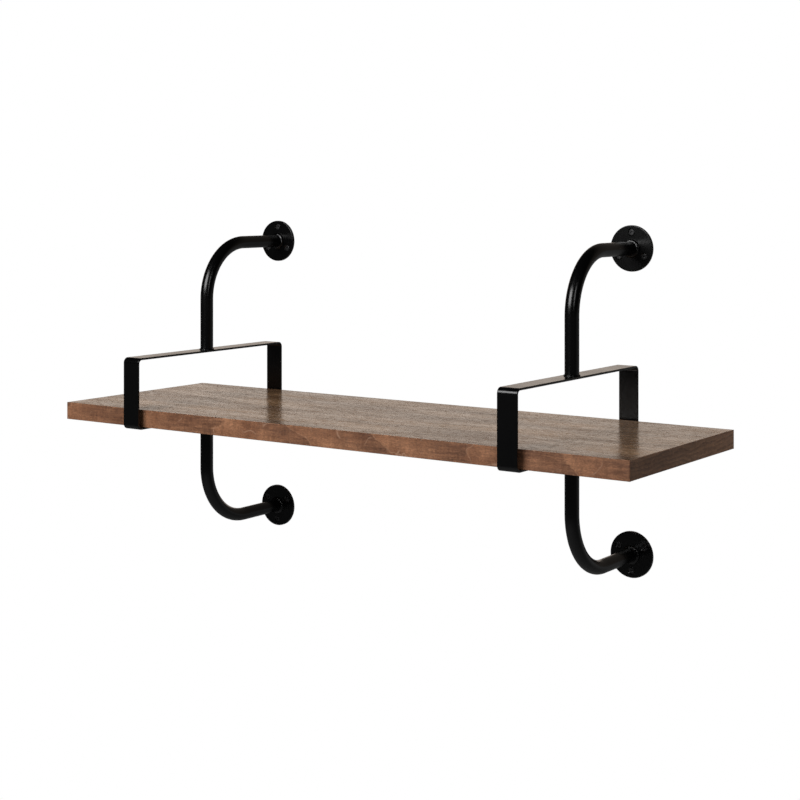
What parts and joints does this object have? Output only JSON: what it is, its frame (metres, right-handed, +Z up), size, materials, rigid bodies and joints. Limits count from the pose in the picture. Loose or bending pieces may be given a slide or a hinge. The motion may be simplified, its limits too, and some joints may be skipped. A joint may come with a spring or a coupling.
{
  "type": "wall shelf",
  "caption": "Wall-mounted shelf: a walnut-veneered board held in closed flat-bar hoops on bent round tubes with screwed wall flanges.",
  "frame": {"origin": "on the wall plane, midway between the two brackets and midway between the upper and lower flange centres", "axes": "+X along the board to the right as seen from the room, +Y into the wall, +Z up"},
  "size_m": [0.97, 0.397, 0.508],
  "materials": {
    "walnut_face_veneer": "satin clear lacquer over straight fine-grained veneer",
    "walnut_edge_band": "satin clear lacquer over flamed reddish-brown strip",
    "core_board": "raw core board, hidden",
    "black_powder_coat": "satin fine-textured powder coat",
    "black_screw": "black-plated steel"
  },
  "bodies": {
    "root": {"board_core": "core_board", "board_top_veneer": "walnut_face_veneer", "board_bottom_veneer": "walnut_face_veneer", "board_front_band": "walnut_edge_band", "board_back_band": "walnut_edge_band", "board_left_band": "walnut_edge_band", "board_right_band": "walnut_edge_band", "left_hoop": "black_powder_coat", "left_upper_tube": "black_powder_coat", "left_upper_flange": "black_powder_coat", "left_upper_flange_weld": "black_powder_coat", "left_upper_bar_weld": "black_powder_coat", "left_upper_wall_screws": "black_screw", "left_lower_tube": "black_powder_coat", "left_lower_flange": "black_powder_coat", "left_lower_flange_weld": "black_powder_coat", "left_lower_bar_weld": "black_powder_coat", "left_lower_wall_screws": "black_screw", "left_board_screws": "black_screw", "right_hoop": "black_powder_coat", "right_upper_tube": "black_powder_coat", "right_upper_flange": "black_powder_coat", "right_upper_flange_weld": "black_powder_coat", "right_upper_bar_weld": "black_powder_coat", "right_upper_wall_screws": "black_screw", "right_lower_tube": "black_powder_coat", "right_lower_flange": "black_powder_coat", "right_lower_flange_weld": "black_powder_coat", "right_lower_bar_weld": "black_powder_coat", "right_lower_wall_screws": "black_screw", "right_board_screws": "black_screw"}
  },
  "joints": []
}
